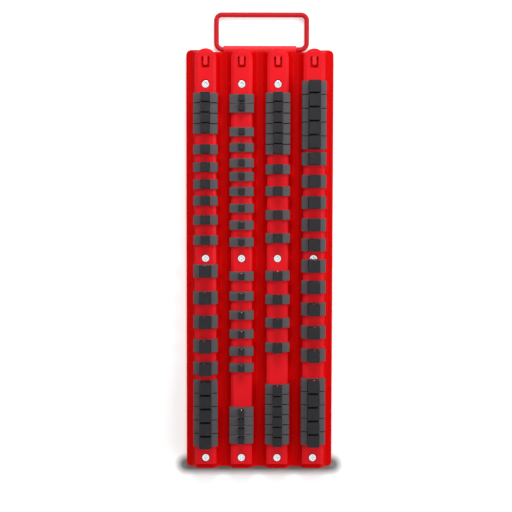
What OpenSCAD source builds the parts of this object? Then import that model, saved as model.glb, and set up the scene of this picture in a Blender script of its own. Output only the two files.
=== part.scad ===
// Pressed steel tray with a wire handle and four rails, on which plastic clips with square drive posts slide.
// The tray lies on its back: +Z is the side with the clips, +Y points to the handle, and z = 0 is the surface
// that it lies on. Millimetres.

/* [Tray] */
// Width of the tray
tray_w = 144; // [141:1:160]
// Length of the tray without its handle
tray_l = 411; // [411:1:440]
// Radius of the tray's corners in plan
tray_corner_r = 5; // [3:0.5:8]
// Thickness of the tray's sheet
sheet_t = 1.2; // [1:0.1:1.5]
// Height of the flat sheet between the ridges over the surface that the tray lies on
floor_z = 8; // [7.5:0.1:12]
// Height of the long ridges over that flat
ridge_h = 8; // [6:0.5:10]
// Width of a ridge's flat top
ridge_top_w = 14; // [12:0.5:16]
// Width of a ridge where it leaves the flat
ridge_base_w = 30; // [26:0.5:33]
// How far the ridges stop short of the tray's edge at the handle
hem_ridge_gap = 1; // [0.5:0.1:3]

/* [Handle and hem] */
// Diameter of the handle's wire
wire_d = 4.8; // [4:0.1:4.8]
// Width of the handle, outside to outside
handle_w = 93; // [90:0.5:93]
// How far the handle reaches past the tray's edge
handle_reach = 36.8; // [30:0.1:60]
// Radius of the wire's centre line at the far corners
handle_corner_r = 5.4; // [4:0.1:12]
// Radius of the wire's centre line where it turns into the hem
handle_foot_r = 6.5; // [6:0.1:6.6]
// How far the handle has slid to the right in its hem
handle_side_play = 1.6; // [-1.8:0.1:1.8]
// Length of the rolled hem that holds the wire
hem_l = 71; // [60:0.5:71]
// Distance from the tray's edge out to the hinge axis
hem_out = 0.8; // [0.8:0.1:3]
// Gap all round between the wire and the hem
hem_clearance = 0.08; // [0.05:0.01:0.1]
// Depth of the relief notches beside the hem
notch_depth = 1.9; // [1.9:0.1:2.5]
// How far from the middle the relief notches reach
notch_reach = 49; // [49:0.5:52]

/* [Rails] */
// Distance from one rail to the next
rail_pitch = 35; // [34:0.5:35.5]
// Width of a rail
rail_w = 21; // [20:0.5:22]
// Width of a rail's flat top
rail_flat_w = 15; // [14:0.5:16]
// Thickness of a rail's sheet
rail_t = 1.2; // [1:0.1:1.4]
// Height of a rail's top over its ridge
rail_rise = 4.4; // [4.2:0.1:5]
// Height of the slanted edge of a rail
rail_bevel_h = 1.7; // [1:0.1:1.8]
// Height of the upright lip under the slanted edge
rail_lip_h = 0.7; // [0.4:0.1:0.8]
// How far the rails stop short of the tray's far edge
rail_end_gap = 5.5; // [3:0.5:5.5]
// Width of the slot round the stop tongue
stop_slot_w = 7.8; // [7:0.1:9]
// Distance from the tray's edge to the root of the stop tongue
stop_start = 7.8; // [7:0.1:9]
// Length of the slot round the stop tongue
stop_slot_l = 10.9; // [9:0.1:12]
// Width of the cut that frees the stop tongue
stop_cut = 2; // [1:0.1:2]
// Gap between the tip of the stop tongue and the end of its slot
stop_tip_gap = 2.5; // [1:0.1:3]
// How far the free end of the stop tongue stands over the rail
stop_rise = 1.2; // [0.6:0.1:2]

/* [Screws and nuts] */
// Distances of a rail's screws from the tray's edge at the handle
screw_places = [34.5, 203, 399.2];
// Diameter of the screw's thread
screw_d = 3.8; // [3.5:0.1:3.8]
// Diameter of the countersunk head
screw_head_d = 7.2; // [7:0.1:8]
// How deep the head sits under the rail's top
screw_sink = 0.7; // [0.4:0.1:0.8]
// Length of the screw over all
screw_l = 9.5; // [9:0.5:12]
// Width across the nut's flats
nut_flats = 7; // [6:0.5:8]
// Thickness of the nut
nut_t = 3.2; // [2:0.1:3.5]
// Depth of the cross recess
recess_depth = 1; // [0.8:0.1:1.1]
// Width of the cross recess's arms
recess_arm_w = 1.0; // [0.8:0.1:1.4]
// Length of the cross recess, tip to tip
recess_l = 4.4; // [3:0.1:4.4]

/* [Clips: for 1/4, 3/8 and 1/2 inch drive] */
// Widths of the square posts
post_w = [6.0, 8.9, 11.5];
// Heights of the posts over the clip's back
post_h = [9.5, 11.5, 13.5];
// Lengths of the clips along the rail
clip_l = [8.7, 9.2, 12.45];
// Diameters of the detent balls
ball_d = [2.0, 2.8, 3.4];
// Width of a clip across the rail
clip_w = 23.6; // [23:0.1:24.5]
// Thickness of the clip's back over the rail
clip_back_t = 3.4; // [2.5:0.1:4.5]
// Radius of the arch of the clip's back across the rail
clip_crown_r = 45; // [35:1:90]
// Thickness of the lips that hook under the rail
clip_hook_t = 1.1; // [0.8:0.1:1.2]
// How far the lips reach in under the rail
clip_hook_reach = 2.2; // [1:0.1:3]
// Gap between a clip and its rail
clip_clearance = 0.3; // [0.2:0.05:0.3]
// Gaps between clips that are parked in a row
parked_gap = [0.3, 0.8, 0.8];
// Chamfer round the top of a post
post_chamfer = 0.9; // [0.3:0.1:1.2]
// How far a detent ball stands out of its post
ball_out = 0.55; // [0.3:0.05:0.6]

/* [Hidden] */
// Drive sizes, as places in the lists above
QUARTER = 0;
THREE_EIGHTHS = 1;
HALF = 2;

// Single clips on each rail, from the handle down: [drive, distances from the edge to the clips' middles]
SINGLES = [
    [[THREE_EIGHTHS, [97.5, 114.5, 131, 147, 165.5, 185]],
     [HALF, [215, 241, 264.5, 288, 310]]],
    [[QUARTER, [80.5, 95.5, 110.5, 123.5, 138, 154, 170.5, 187, 220, 239.5, 258, 276.5, 293.5, 309.5]]],
    [[THREE_EIGHTHS, [116.5, 137.5, 160.5, 183, 219.5, 242.5, 265.5, 289.5]]],
    [[HALF, [106.5, 128, 148.5, 170, 189.5, 210, 230.5, 252, 274.5, 297]]]
];

// Spare clips parked in a row: [rail, which end, drive, how many, distance of the first clip's edge]
PARKED = [
    [1, "top", THREE_EIGHTHS, 4, 43.25],
    [1, "bottom", HALF, 5, 321.9],
    [2, "top", QUARTER, 2, 44.4],
    [2, "bottom", QUARTER, 4, 348.6],
    [3, "top", THREE_EIGHTHS, 6, 42.95],
    [3, "bottom", THREE_EIGHTHS, 6, 326.05],
    [4, "top", HALF, 5, 31.7],
    [4, "bottom", HALF, 5, 320.1]
];

RAILS = [1, 2, 3, 4];
fine = 64;
cut = 0.5;                                   // how far a cutting shape runs past the surface that it cuts

// Where things are
edge_y = (tray_l - handle_reach) / 2;        // the tray's edge at the handle, with the whole object centred
ridge_z = floor_z + ridge_h;
rail_z = ridge_z + rail_rise;
rail_low_z = rail_z - rail_bevel_h - rail_lip_h;
rail_l = tray_l - rail_end_gap;
slope_share = 0.55;                          // share of the wall that keeps it even on a ridge's slopes

// Hem and handle
wire_r = wire_d / 2;
hem_bore_r = wire_r + hem_clearance;
hem_r = hem_bore_r + sheet_t;
hem_y = edge_y + hem_out;
hem_z = floor_z - hem_r;
handle_half = handle_w / 2 - wire_r;         // from the middle of the loop to the wire's centre line
handle_top_y = edge_y + handle_reach - wire_r;

// Screws: a 45 degree countersink, so the head's cone is as high as it is wide
screw_r = screw_d / 2;
hole_r = screw_r + 0.075;
seat_gap = 0.02;
head_z = rail_z - screw_sink;
dimple_mouth_r = screw_head_d / 2 + screw_sink;
dimple_foot_r = hole_r + 0.7;                // outside of the dimple where it stands on the ridge
dimple_h = rail_rise - 0.75 * rail_t;
nut_z = ridge_z - sheet_t - nut_t;
nut_clearance = 0.02;

// Clips
back_z = rail_z + clip_clearance;
post_z = back_z + clip_back_t;
hook_top_z = rail_low_z - clip_clearance;
bevel_slack = clip_clearance * 1.4;          // keeps the clearance square to the slanted edge
back_chamfer = 0.8;
crown_steps = 6;
ball_clearance = 0.05;
spring_slack = 0.15;
spring_l = [2.2, 3.6, 5.0];

function two_digits(n) = n < 10 ? str("0", n) : str(n);
function rail_x(rail) = (rail - 2.5) * rail_pitch;
function rail_name(rail) = str("rail_", rail);
function joined(lists) = [for (list = lists) for (item = list) item];
function parked_name(row) = str("rail_", row[0], "_parked_clips_", row[1]);

// The single clips one by one: [name, rail, drive, distance of its middle from the tray's edge]
CLIPS = joined([
    for (rail = RAILS)
        let (all = joined([for (run = SINGLES[rail - 1]) [for (place = run[1]) [run[0], place]]]))
        [for (i = [0 : len(all) - 1])
            [str("rail_", rail, "_clip_", two_digits(i + 1)), rail, all[i][0], all[i][1]]]
]);

// Turns a shape drawn in X and Z into a bar that runs from y = 0 towards -Y
module along_y(length) {
    rotate([90, 0, 0]) linear_extrude(length) children();
}

// Turns a shape drawn in Y and Z into a bar centred on x = 0
module along_x(length) {
    rotate([90, 0, 90]) linear_extrude(length, center = true) children();
}

// One side of a ridge falls from its flat top to the flat sheet along half a cosine wave
slope_steps = 8;
function slope(top, base, low, high, side) = [
    for (i = [0 : slope_steps])
        let (t = side > 0 ? i / slope_steps : 1 - i / slope_steps)
        [side * (top + (base - top) * t), low + (high - low) * (1 + cos(180 * t)) / 2]
];

// Outline of one ridge over the level "low", with a foot under that level, drawn in X and Z
module ridge_outline(top_w, base_w, low, high) {
    polygon(concat(
        slope(top_w / 2, base_w / 2, low, high, -1),
        slope(top_w / 2, base_w / 2, low, high, 1),
        [[base_w / 2, low - 1], [-base_w / 2, low - 1]]
    ));
}

// The tray's plan, drawn in by a wall, with the relief notches beside the hem
module tray_plan(inset) {
    r = tray_corner_r - inset;
    difference() {
        translate([0, edge_y - tray_l / 2]) union() {
            square([tray_w - 2 * tray_corner_r, tray_l - 2 * inset], center = true);
            square([tray_w - 2 * inset, tray_l - 2 * tray_corner_r], center = true);
            for (x = [-1, 1], y = [-1, 1])
                translate([x * (tray_w / 2 - tray_corner_r), y * (tray_l / 2 - tray_corner_r)])
                    circle(r, $fn = fine);
        }
        for (side = [-1, 1])
            translate([side * (notch_reach + hem_l / 2) / 2, edge_y])
                square([notch_reach - hem_l / 2 + 2 * inset, 2 * (notch_depth + inset)], center = true);
    }
}

// The ridges as solids on the flat sheet, narrower and lower by a wall when they hollow it out
module ridges(wall) {
    shift = wall * slope_share;
    for (rail = RAILS)
        translate([rail_x(rail), edge_y - hem_ridge_gap - wall, 0])
            along_y(tray_l - hem_ridge_gap) ridge_outline(
                ridge_top_w - 2 * shift, ridge_base_w - 2 * shift, floor_z - wall, ridge_z - wall);
}

// Outside of the pressed sheet, or its hollow where a wall is given: the flat plan with the four ridges on it
module pressing(wall) {
    base = wall > 0 ? -cut : 0;
    translate([0, 0, base]) linear_extrude(floor_z - wall - base) tray_plan(wall);
    intersection() {
        ridges(wall);
        linear_extrude(ridge_z + 1) tray_plan(wall);
    }
}

module tray() {
    tab_y = edge_y - sheet_t - cut;
    color("crimson") difference() {
        union() {
            difference() {
                pressing(0);
                pressing(sheet_t);
                // the skirt is left off where the tab runs out to the hem
                translate([-hem_l / 2, tab_y, -cut])
                    cube([hem_l, sheet_t + 2 * cut, floor_z - sheet_t + cut]);
            }
            // the tab, and the hem that it rolls into
            translate([-hem_l / 2, tab_y, floor_z - sheet_t])
                cube([hem_l, hem_y - tab_y, sheet_t]);
            translate([0, hem_y, hem_z]) along_x(hem_l) circle(hem_r, $fn = fine);
        }
        translate([0, hem_y, hem_z]) along_x(hem_l + 2 * cut) circle(hem_bore_r, $fn = fine);
        for (rail = RAILS, place = screw_places)
            translate([rail_x(rail), edge_y - place, ridge_z - sheet_t - cut])
                cylinder(r = hole_r, h = sheet_t + 2 * cut, $fn = fine);
    }
}

// A quarter turn of wire about z, from +X to +Y
module wire_bend(radius) {
    rotate_extrude(angle = 90, $fn = fine) translate([radius, 0]) circle(wire_r, $fn = fine);
}

module handle() {
    foot_y = hem_y + handle_foot_r;
    far_y = handle_top_y - handle_corner_r;
    leg_l = far_y - foot_y;
    color("red") translate([handle_side_play, 0, hem_z]) {
        translate([0, hem_y, 0])
            along_x(2 * (handle_half - handle_foot_r)) circle(wire_r, $fn = fine);
        translate([0, handle_top_y, 0])
            along_x(2 * (handle_half - handle_corner_r)) circle(wire_r, $fn = fine);
        for (side = [0, 1]) mirror([side, 0, 0]) {
            translate([handle_half, far_y, 0]) along_y(leg_l) circle(wire_r, $fn = fine);
            translate([handle_half - handle_corner_r, far_y, 0]) wire_bend(handle_corner_r);
            translate([handle_half - handle_foot_r, foot_y, 0]) mirror([0, 1, 0]) wire_bend(handle_foot_r);
        }
    }
}

// Half of a rail's section: the radius from the rail's middle, and the height
function rail_half() = [
    [0, rail_z - rail_t],
    [rail_flat_w / 2 - rail_t / 3, rail_z - rail_t],
    [rail_w / 2 - rail_t, rail_low_z + rail_t / 4],
    [rail_w / 2 - rail_t, rail_low_z],
    [rail_w / 2, rail_low_z],
    [rail_w / 2, rail_low_z + rail_lip_h],
    [rail_flat_w / 2, rail_z],
    [0, rail_z]
];

// The raised tongue that stops the clips: its root is the line y = 0, and it runs towards -Y
module stop_tongue() {
    length = stop_slot_l - stop_tip_gap;
    along_x(stop_slot_w - 2 * stop_cut) polygon([
        [cut, -rail_t], [cut, 0], [0, 0], [-length, stop_rise], [-length, stop_rise - rail_t], [0, -rail_t]
    ]);
}

module rail(number) {
    color("orangered") translate([rail_x(number), edge_y, 0]) {
        difference() {
            union() {
                translate([0, -rail_w / 2, 0]) {
                    along_y(rail_l - rail_w / 2)
                        union() {
                            polygon(rail_half());
                            mirror([1, 0]) polygon(rail_half());
                        }
                    rotate_extrude(angle = 180, $fn = fine) polygon(rail_half());
                }
                for (place = screw_places)
                    translate([0, -place, ridge_z])
                        cylinder(r1 = dimple_foot_r, r2 = dimple_foot_r + dimple_h, h = dimple_h, $fn = fine);
            }
            for (place = screw_places) translate([0, -place, 0]) {
                translate([0, 0, rail_z - dimple_mouth_r + hole_r])
                    cylinder(r1 = hole_r, r2 = dimple_mouth_r + cut,
                        h = dimple_mouth_r - hole_r + cut, $fn = fine);
                translate([0, 0, ridge_z - cut]) cylinder(r = hole_r, h = rail_rise, $fn = fine);
            }
            translate([-stop_slot_w / 2, -stop_start - stop_slot_l, rail_z - 2 * rail_t])
                cube([stop_slot_w, stop_slot_l, 3 * rail_t]);
        }
        translate([0, -stop_start, rail_z]) stop_tongue();
    }
}

module screw() {
    head_r = screw_head_d / 2 - seat_gap;
    color("silver") difference() {
        translate([0, 0, head_z]) union() {
            translate([0, 0, screw_r - head_r])
                cylinder(r1 = screw_r, r2 = head_r, h = head_r - screw_r, $fn = fine);
            translate([0, 0, -screw_l]) cylinder(r = screw_r, h = screw_l - cut, $fn = fine);
        }
        for (turn = [0, 90])
            translate([0, 0, head_z]) rotate([0, 0, turn])
                cube([recess_l, recess_arm_w, 2 * recess_depth], center = true);
    }
}

module rail_screws() {
    for (rail = RAILS, place = screw_places)
        translate([rail_x(rail), edge_y - place, 0]) screw();
}

module rail_nuts() {
    for (rail = RAILS, place = screw_places)
        color("gray") translate([rail_x(rail), edge_y - place, nut_z]) difference() {
            cylinder(d = nut_flats / cos(30), h = nut_t, $fn = 6);
            translate([0, 0, -cut]) cylinder(r = screw_r + nut_clearance, h = nut_t + 2 * cut, $fn = fine);
        }
}

// Height of a clip's arched back at a distance from its middle
function crown_z(x) = post_z - x * x / (2 * clip_crown_r);

// A clip's saddle round the rail, drawn in X and Z
module saddle_outline() {
    half = clip_w / 2;
    hollow = rail_w / 2 + clip_clearance;
    hook = rail_w / 2 - clip_hook_reach;
    hook_low_z = hook_top_z - clip_hook_t;
    bevel_top = rail_flat_w / 2 + bevel_slack / 2;
    bevel_low_z = rail_low_z + rail_lip_h + bevel_slack / 2;
    right = concat(
        [for (i = [0 : crown_steps]) let (x = (half - back_chamfer) * i / crown_steps) [x, crown_z(x)]],
        [
            [half, crown_z(half) - back_chamfer],
            [half, hook_low_z],
            [hook, hook_low_z],
            [hook, hook_top_z],
            [hollow, hook_top_z],
            [hollow, bevel_low_z],
            [bevel_top, back_z],
            [0, back_z]
        ]
    );
    polygon(right);
    mirror([1, 0]) polygon(right);
}

// A post's side view, with its top chamfered
module post_outline(width, height) {
    half = width / 2;
    polygon([
        [-half, -1], [half, -1], [half, height - post_chamfer], [half - post_chamfer, height],
        [post_chamfer - half, height], [-half, height - post_chamfer]
    ]);
}

// A clip for one drive size, its middle on x = 0 and y = 0: the moulding, its detent ball and the spring
// behind the ball, as three separate solids
module clip(drive) {
    width = post_w[drive];
    height = post_h[drive];
    ball_r = ball_d[drive] / 2;
    ball_z = post_z + height / 2;
    ball_y = width / 2 + ball_out - ball_r;
    spring_end = ball_y - ball_r - ball_clearance;
    hole_end = spring_end - spring_l[drive] - ball_clearance;
    color("dimgray") difference() {
        union() {
            translate([0, clip_l[drive] / 2, 0]) along_y(clip_l[drive]) saddle_outline();
            translate([0, 0, post_z]) intersection() {
                translate([0, width / 2, 0]) along_y(width) post_outline(width, height);
                along_x(width) post_outline(width, height);
            }
        }
        translate([0, width / 2 + cut, ball_z])
            along_y(width / 2 + cut - hole_end) circle(ball_r + ball_clearance, $fn = fine);
    }
    color("white") translate([0, ball_y, ball_z]) sphere(ball_r, $fn = fine);
    color("gray") translate([0, spring_end, ball_z])
        along_y(spring_l[drive]) circle(ball_r - spring_slack, $fn = fine);
}

module single_clip(item) {
    translate([rail_x(item[1]), edge_y - item[3], 0]) clip(item[2]);
}

module parked_clips(row) {
    drive = row[2];
    pitch = clip_l[drive] + parked_gap[drive];
    for (i = [0 : row[3] - 1])
        translate([rail_x(row[0]), edge_y - row[4] - clip_l[drive] / 2 - i * pitch, 0]) clip(drive);
}

tray();
handle();
for (number = RAILS) rail(number);
rail_screws();
rail_nuts();
for (item = CLIPS) single_clip(item);
for (row = PARKED) parked_clips(row);
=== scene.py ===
"""Dresses a socket organizer tray: pressed sheet, wire handle, rails, screws, nuts and sliding clips.

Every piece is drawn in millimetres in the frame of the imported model.
"""

import logging
import math
from dataclasses import dataclass
from enum import Enum
from itertools import pairwise
from typing import Callable, Iterable, Sequence

import bmesh
import bpy
from bmesh.types import BMEdge, BMFace, BMVert
from bpy.types import Material, Mesh, NodeSocket, Object, World
from mathutils import Matrix, Vector


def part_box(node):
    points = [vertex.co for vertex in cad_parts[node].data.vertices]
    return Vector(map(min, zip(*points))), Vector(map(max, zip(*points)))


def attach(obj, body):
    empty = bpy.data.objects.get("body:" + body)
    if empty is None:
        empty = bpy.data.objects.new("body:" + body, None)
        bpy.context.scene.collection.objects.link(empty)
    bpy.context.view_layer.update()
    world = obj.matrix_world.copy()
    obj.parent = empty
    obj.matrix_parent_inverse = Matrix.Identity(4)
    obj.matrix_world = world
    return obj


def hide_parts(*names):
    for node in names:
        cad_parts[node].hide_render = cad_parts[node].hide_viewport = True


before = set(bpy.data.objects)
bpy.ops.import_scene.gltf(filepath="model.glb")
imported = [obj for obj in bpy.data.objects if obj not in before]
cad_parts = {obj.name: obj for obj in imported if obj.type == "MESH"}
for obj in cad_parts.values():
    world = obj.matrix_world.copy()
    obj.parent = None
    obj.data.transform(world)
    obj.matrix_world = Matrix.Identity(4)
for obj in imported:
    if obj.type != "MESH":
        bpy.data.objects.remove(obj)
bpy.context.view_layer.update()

LOG = logging.getLogger("socket_tray")
MM = 0.001
# Places within this many millimetres of each other count as one.
NEAR = 0.01
TRAY_BODY = "tray_with_rails"
RAILS = (1, 2, 3, 4)

Point = tuple[float, float]
Triple = tuple[float, float, float]
Place = Callable[[Vector], Vector]
Edges = Sequence[BMEdge]


def box_mm(node: str) -> tuple[Vector, Vector]:
    """Gives the lowest and the highest corner of a CAD node in millimetres."""
    low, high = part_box(node)
    return low / MM, high / MM


def rounded(corners: Sequence[tuple[float, ...]], closed: bool = False, steps: int = 3) -> list[Point]:
    """Draws a line through corners and rounds them off.

    Args:
        corners: x and y of each corner, and the radius where it is round.
        closed: whether the line runs on from the last corner to the first.
        steps: straight stretches in each arc.

    Returns:
        The points of the line, in order.
    """
    line: list[Point] = []
    last = len(corners) - 1
    for i, corner in enumerate(corners):
        here = Vector(corner[:2])
        if len(corner) == 2 or (not closed and i in (0, last)):
            line.append(tuple(here))
            continue
        back = (Vector(corners[i - 1][:2]) - here).normalized()
        ahead = (Vector(corners[0 if i == last else i + 1][:2]) - here).normalized()
        half = back.angle(ahead) / 2
        centre = here + (back + ahead).normalized() * (corner[2] / math.sin(half))
        start, end = (here + way * (corner[2] / math.tan(half)) - centre for way in (back, ahead))
        sweep = math.pi - 2 * half
        for k in range(steps + 1):
            turn = sweep * k / steps
            spoke = start * math.sin(sweep - turn) + end * math.sin(turn)
            line.append(tuple(centre + spoke / math.sin(sweep)))
    return line


def ring(radius: float, steps: int) -> list[Point]:
    """Gives the points of a circle round the origin."""
    angles = (math.tau * k / steps for k in range(steps))
    return [(radius * math.cos(a), radius * math.sin(a)) for a in angles]


def quarter_turn(steps: int) -> list[float]:
    """Gives the angles of a quarter turn in radians, in equal steps from 0."""
    return [k * math.pi / 2 / steps for k in range(steps + 1)]


def away(place: Vector, centre: Vector) -> Vector:
    """Gives the level direction from a centre to a place."""
    return Vector((place.x - centre.x, place.y - centre.y, 0)).normalized()


def configure(target: object, **settings: object) -> None:
    """Sets attributes of a node or a modifier."""
    for key, value in settings.items():
        setattr(target, key, value)


def new_object(name: str, data: bpy.types.ID) -> Object:
    """Adds an object to the scene.

    Args:
        name: its name.
        data: its mesh, lamp or camera.

    Returns:
        The object.
    """
    made = bpy.data.objects.new(name, data)
    bpy.context.scene.collection.objects.link(made)
    return made


class Shape:
    """A mesh under construction, in millimetres."""

    crease = 40.0
    edge_angle = 50.0

    def __init__(self) -> None:
        """Starts an empty mesh."""
        self.bm = bmesh.new()

    def chain(self, points: Iterable[Sequence[float]], closed: bool = False) -> list[BMEdge]:
        """Draws edges through points.

        Args:
            points: places in space, in order.
            closed: whether a last edge runs back to the first point.

        Returns:
            The edges, in order.
        """
        verts = [self.bm.verts.new(point) for point in points]
        return [self.bm.edges.new(pair) for pair in pairwise(verts + verts[:1] if closed else verts)]

    def loop(self, points: Iterable[Point], middle: Sequence[float]) -> list[BMEdge]:
        """Draws a closed level line round a middle, and returns its edges."""
        x, y, z = middle
        return self.chain([(x + px, y + py, z) for px, py in points], closed=True)

    def extrude(self, edges: Edges, place: Place) -> list[BMEdge]:
        """Pulls a strip of faces out of edges.

        Args:
            edges: the edges to pull from.
            place: gives the place of a new vertex from that of the old one.

        Returns:
            The edges at the far side of the strip.
        """
        made = bmesh.ops.extrude_edge_only(self.bm, edges=edges)["geom"]
        verts = {part for part in made if isinstance(part, BMVert)}
        for vert in verts:
            vert.co = place(vert.co.copy())
        return [part for part in made if isinstance(part, BMEdge) and verts.issuperset(part.verts)]

    def follow(self, edges: Edges, profile: Sequence[Point], outward: Place) -> list[BMEdge]:
        """Pulls strips out of edges along a profile.

        Args:
            edges: the edges to pull from, which lie at the profile's first point.
            profile: distances outward and heights.
            outward: gives the level direction that counts as outward at a place.

        Returns:
            The edges at the end of the profile.
        """
        for (reach, level), (next_reach, next_level) in pairwise(profile):
            step, rise = next_reach - reach, Vector((0, 0, next_level - level))
            edges = self.extrude(edges, lambda co: co + outward(co) * step + rise)
        return edges

    def turn(self, edges: Edges, centre: Sequence[float], axis: Sequence[float],
             angle: float, steps: int, climb: float = 0.0) -> list[BMEdge]:
        """Sweeps edges about an axis.

        Args:
            edges: the edges to sweep.
            centre: a point of the axis.
            axis: the axis's direction.
            angle: the turn in degrees.
            steps: strips along the turn.
            climb: travel along the axis over the whole turn.

        Returns:
            The edges at the end of the turn.
        """
        verts = {vert for edge in edges for vert in edge.verts}
        made = bmesh.ops.spin(
            self.bm, geom=[*edges, *verts], cent=centre, axis=axis, angle=math.radians(angle), steps=steps,
            dvec=Vector(axis) * climb / steps, use_merge=False, use_duplicate=False)["geom_last"]
        return [part for part in made if isinstance(part, BMEdge)]

    def fill(self, edges: Edges, normal: Sequence[float]) -> None:
        """Covers the flat area inside loops of edges, and leaves the loops inside it as holes."""
        bmesh.ops.triangle_fill(
            self.bm, use_beauty=True, use_dissolve=False, edges=edges, normal=Vector(normal))

    def cap(self, edges: Edges) -> list[BMFace]:
        """Closes a loop of edges with one face, and returns it in a list."""
        return bmesh.ops.edgeloop_fill(self.bm, edges=edges)["faces"]

    def nearest_face(self, point: Sequence[float]) -> BMFace:
        """Gives the face whose middle is nearest to a point."""
        return min(self.bm.faces, key=lambda face: (face.calc_center_median() - Vector(point)).length)

    def hole(self, face: BMFace, centre: Sequence[float], radius: float, steps: int) -> list[BMEdge]:
        """Cuts a round hole in a flat face.

        Args:
            face: the face, which is replaced.
            centre: the middle of the hole, on the face.
            radius: the radius of the hole.
            steps: straight stretches round the hole.

        Returns:
            The edges of the hole.
        """
        self.bm.normal_update()
        normal, outer = face.normal.copy(), list(face.edges)
        turned = normal.to_track_quat("Z", "Y").to_matrix()
        bmesh.ops.delete(self.bm, geom=[face], context="FACES_ONLY")
        points = (Vector(centre) + turned @ Vector((*point, 0)) for point in ring(radius, steps))
        rim = self.chain(points, closed=True)
        self.fill(outer + rim, normal)
        return rim

    def bevel(self, edges: Edges, offset: float, segments: int) -> None:
        """Rounds edges off."""
        bmesh.ops.bevel(
            self.bm, geom=edges, offset=offset, segments=segments, profile=0.5, affect="EDGES", material=-1,
            clamp_overlap=True)

    def add(self, mesh: Mesh, offset: Sequence[float]) -> None:
        """Adds a copy of a mesh at an offset.

        Args:
            mesh: the mesh.
            offset: where its origin comes.
        """
        known = len(self.bm.verts)
        self.bm.from_mesh(mesh)
        self.bm.verts.ensure_lookup_table()
        bmesh.ops.translate(self.bm, vec=Vector(offset), verts=self.bm.verts[known:])

    def settle(self, open_sheet: bool = False) -> None:
        """Merges doubles and turns all faces outwards, or upwards on an open sheet.

        Args:
            open_sheet: whether the shape is a sheet without a thickness yet.
        """
        bmesh.ops.remove_doubles(self.bm, verts=self.bm.verts, dist=MM)
        bmesh.ops.recalc_face_normals(self.bm, faces=self.bm.faces)
        widest = max(self.bm.faces, key=BMFace.calc_area)
        if open_sheet and widest.normal.z < 0:
            bmesh.ops.reverse_faces(self.bm, faces=self.bm.faces)

    def mesh(self, name: str) -> Mesh:
        """Ends the construction.

        Args:
            name: the mesh's name.

        Returns:
            The mesh.
        """
        mesh = bpy.data.meshes.new(name)
        self.bm.to_mesh(mesh)
        self.bm.free()
        return mesh

    def template(self, name: str) -> Mesh:
        """Ends the construction as a mesh in millimetres that pieces copy."""
        self.settle()
        return self.mesh(name)

    def finish(self, name: str, coat: "Finish", body: str, nodes: Sequence[str], wall: float = 0.0,
               edge: float = 0.0) -> Object:
        """Ends the construction as a piece of the scene.

        Args:
            name: the piece's name.
            coat: the finish that it gets.
            body: the body that it rides on.
            nodes: the CAD nodes that it stands for.
            wall: the thickness of a sheet, or 0 for a closed shape.
            edge: the width of the rounding on the edges of a sheet.

        Returns:
            The piece.
        """
        self.settle(open_sheet=wall > 0)
        bmesh.ops.scale(self.bm, vec=(MM, MM, MM), verts=self.bm.verts)
        mesh = self.mesh(name)
        mesh.shade_smooth()
        mesh.set_sharp_from_angle(angle=math.radians(self.crease))
        mesh.materials.append(coat.material())
        piece = new_object(name, mesh)
        modifier = piece.modifiers.new
        if wall:
            configure(
                modifier("Wall", "SOLIDIFY"), thickness=wall * MM, offset=-1, use_even_offset=True)
        if edge:
            configure(
                modifier("Edges", "BEVEL"), width=edge * MM, segments=2, limit_method="ANGLE",
                angle_limit=math.radians(self.edge_angle), harden_normals=False)
        configure(modifier("Normals", "WEIGHTED_NORMAL"), weight=100, keep_sharp=True)
        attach(piece, body)
        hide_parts(*nodes)
        return piece


class Signal:
    """A number or a vector that runs through a material's nodes."""

    def __init__(self, nodes: "Nodes", socket: NodeSocket) -> None:
        """Wraps an output socket of a node."""
        self.nodes = nodes
        self.socket = socket

    def math(self, operation: str, *others: "Signal | float") -> "Signal":
        """Adds a Math node whose first value is this one."""
        node = self.nodes.add("ShaderNodeMath", {"operation": operation}, dict(enumerate((self, *others))))
        return Signal(self.nodes, node.outputs[0])

    def __add__(self, other: "Signal | float") -> "Signal":
        """Adds."""
        return self.math("ADD", other)

    __radd__ = __add__

    def __mul__(self, other: "Signal | float") -> "Signal":
        """Multiplies."""
        return self.math("MULTIPLY", other)

    __rmul__ = __mul__

    def __sub__(self, other: "Signal | float") -> "Signal":
        """Takes away."""
        return self.math("SUBTRACT", other)

    def __rsub__(self, other: float) -> "Signal":
        """Is taken away from a number."""
        return self * -1.0 + other

    def above(self, low: float, high: float) -> "Signal":
        """Rises from 0 to 1 between two values, and stays there."""
        node = self.nodes.add(
            "ShaderNodeMapRange", {"clamp": True}, {"Value": self, "From Min": low, "From Max": high})
        return Signal(self.nodes, node.outputs["Result"])


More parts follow.
